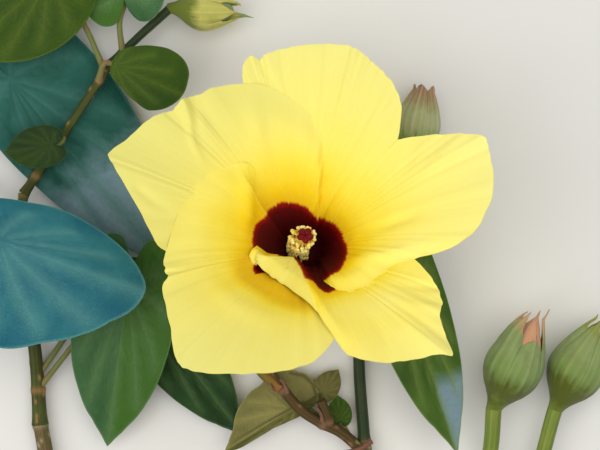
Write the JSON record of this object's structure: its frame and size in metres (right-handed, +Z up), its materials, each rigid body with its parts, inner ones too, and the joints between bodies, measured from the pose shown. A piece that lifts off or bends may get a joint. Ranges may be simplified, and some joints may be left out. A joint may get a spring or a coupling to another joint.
{
  "type": "cut flowering branch of sea hibiscus",
  "caption": "Cut sea hibiscus branch lying flat, with an open yellow bloom with a maroon throat, closed buds and heart-shaped leaves.",
  "frame": {"origin": "middle of the branch's box at the level of the surface it lies on", "axes": "+Z up, the way the bloom faces; +Y from the cut foot towards the tips"},
  "size_m": [0.193, 0.2396, 0.0754],
  "materials": {
    "bark": "matte, brown-green bark with paler lenticels",
    "green_stem": "satin green young stem with fine down",
    "petal": "soft satin, lemon yellow with fine fan veins",
    "calyx": "matte, finely downy",
    "bud": "matte grey-green, finely downy, with raised ribs",
    "anther": "matte pollen",
    "stigma": "velvety dark maroon",
    "leaf_teal": "satin blue-green leaf with paler veins",
    "leaf_green": "satin green leaf with paler veins",
    "leaf_olive": "satin olive leaf",
    "leaf_young": "satin young leaf, olive brown"
  },
  "bodies": {
    "root": {"stem_main": "bark", "stem_upper": "green_stem", "twig_flower": "bark", "twig_left_lower": "bark", "twig_left_middle": "bark", "twig_left_upper": "bark", "twig_left_tip": "green_stem", "twig_buds": "green_stem", "stalk_bud_lower": "green_stem", "stalk_bud_outer": "green_stem", "stub": "bark", "pedicel_flower": "green_stem", "calyx_flower": "calyx", "petal_top": "petal", "petal_upper_left": "petal", "petal_lower_left": "petal", "petal_lower_right": "petal", "petal_right": "petal", "staminal_column": "anther", "stigma": "stigma", "bud_lower": "bud", "bud_outer": "bud", "bud_back": "bud", "bud_left": "bud", "leaf_left": "leaf_teal", "petiole_left": "green_stem", "leaf_upper": "leaf_teal", "petiole_upper": "green_stem", "leaf_olive": "leaf_olive", "petiole_olive": "green_stem", "leaf_inner": "leaf_olive", "petiole_inner": "green_stem", "leaf_lower": "leaf_green", "petiole_lower": "green_stem", "leaf_below": "leaf_green", "petiole_below": "green_stem", "leaf_corner": "leaf_olive", "petiole_corner": "green_stem", "leaf_tip": "leaf_green", "petiole_tip": "green_stem", "leaf_folded": "leaf_young", "petiole_folded": "green_stem", "leaf_young_upper": "leaf_young", "petiole_young_upper": "green_stem", "leaf_young_lower": "leaf_young", "petiole_young_lower": "green_stem", "leaf_right": "leaf_green", "petiole_right": "green_stem"}
  },
  "joints": []
}
